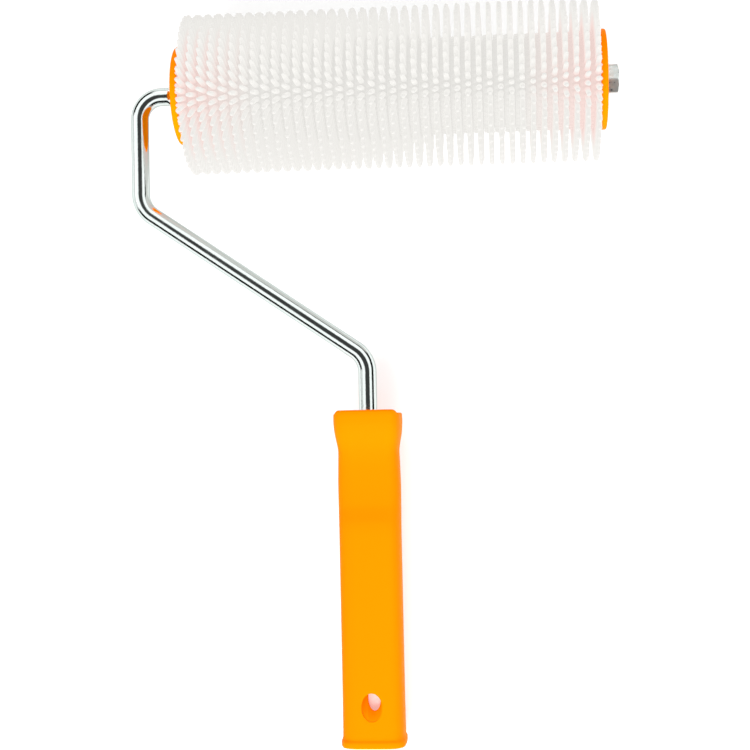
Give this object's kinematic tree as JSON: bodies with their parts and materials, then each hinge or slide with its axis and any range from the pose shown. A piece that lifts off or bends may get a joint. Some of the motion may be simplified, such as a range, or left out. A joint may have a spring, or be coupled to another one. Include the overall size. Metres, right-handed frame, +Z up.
{
  "type": "needle roller",
  "caption": "Needle roller for self-levelling floors: rings of plastic needles spin on a bent steel frame with a hollow handle.",
  "frame": {"origin": "middle of the footprint, on the surface that the needle tips and the handle's end rest on", "axes": "+X along the roller towards its nut, +Y from the handle towards the roller, +Z up"},
  "size_m": [0.2162, 0.3224, 0.0705],
  "materials": {
    "chrome_wire": "bright plated steel wire, drawn lengthwise",
    "zinc_hardware": "zinc plated washer and nut",
    "handle_plastic": "satin orange moulded plastic",
    "cap_plastic": "satin orange moulded plastic",
    "core_plastic": "translucent natural plastic",
    "needle_plastic": "translucent natural plastic"
  },
  "bodies": {
    "frame": {"wire_frame": "chrome_wire", "handle": "handle_plastic", "washer": "zinc_hardware", "hex_nut": "zinc_hardware"},
    "roller": {"left_end_cap": "cap_plastic", "right_end_cap": "cap_plastic", "core_tube": "core_plastic", "needle_ring_01": "needle_plastic", "needle_ring_02": "needle_plastic", "needle_ring_03": "needle_plastic", "needle_ring_04": "needle_plastic", "needle_ring_05": "needle_plastic", "needle_ring_06": "needle_plastic", "needle_ring_07": "needle_plastic", "needle_ring_08": "needle_plastic", "needle_ring_09": "needle_plastic", "needle_ring_10": "needle_plastic", "needle_ring_11": "needle_plastic", "needle_ring_12": "needle_plastic", "needle_ring_13": "needle_plastic", "needle_ring_14": "needle_plastic", "needle_ring_15": "needle_plastic", "needle_ring_16": "needle_plastic", "needle_ring_17": "needle_plastic", "needle_ring_18": "needle_plastic", "needle_ring_19": "needle_plastic", "needle_ring_20": "needle_plastic", "needle_ring_21": "needle_plastic", "needle_ring_22": "needle_plastic", "needle_ring_23": "needle_plastic", "needle_ring_24": "needle_plastic", "needle_ring_25": "needle_plastic", "needle_ring_26": "needle_plastic", "needle_ring_27": "needle_plastic", "needle_ring_28": "needle_plastic", "needle_ring_29": "needle_plastic", "needle_ring_30": "needle_plastic", "needle_ring_31": "needle_plastic", "needle_ring_32": "needle_plastic", "needle_ring_33": "needle_plastic", "needle_ring_34": "needle_plastic", "needle_ring_35": "needle_plastic", "needle_ring_36": "needle_plastic", "needle_ring_37": "needle_plastic", "needle_ring_38": "needle_plastic", "needle_ring_39": "needle_plastic", "needle_ring_40": "needle_plastic"}
  },
  "joints": [
    {"name": "roller_spin", "type": "hinge", "parent": "frame", "child": "roller", "pos_m": [0.00835, 0.12595, 0.03525], "axis": [1, 0, 0], "continuous": true}
  ]
}
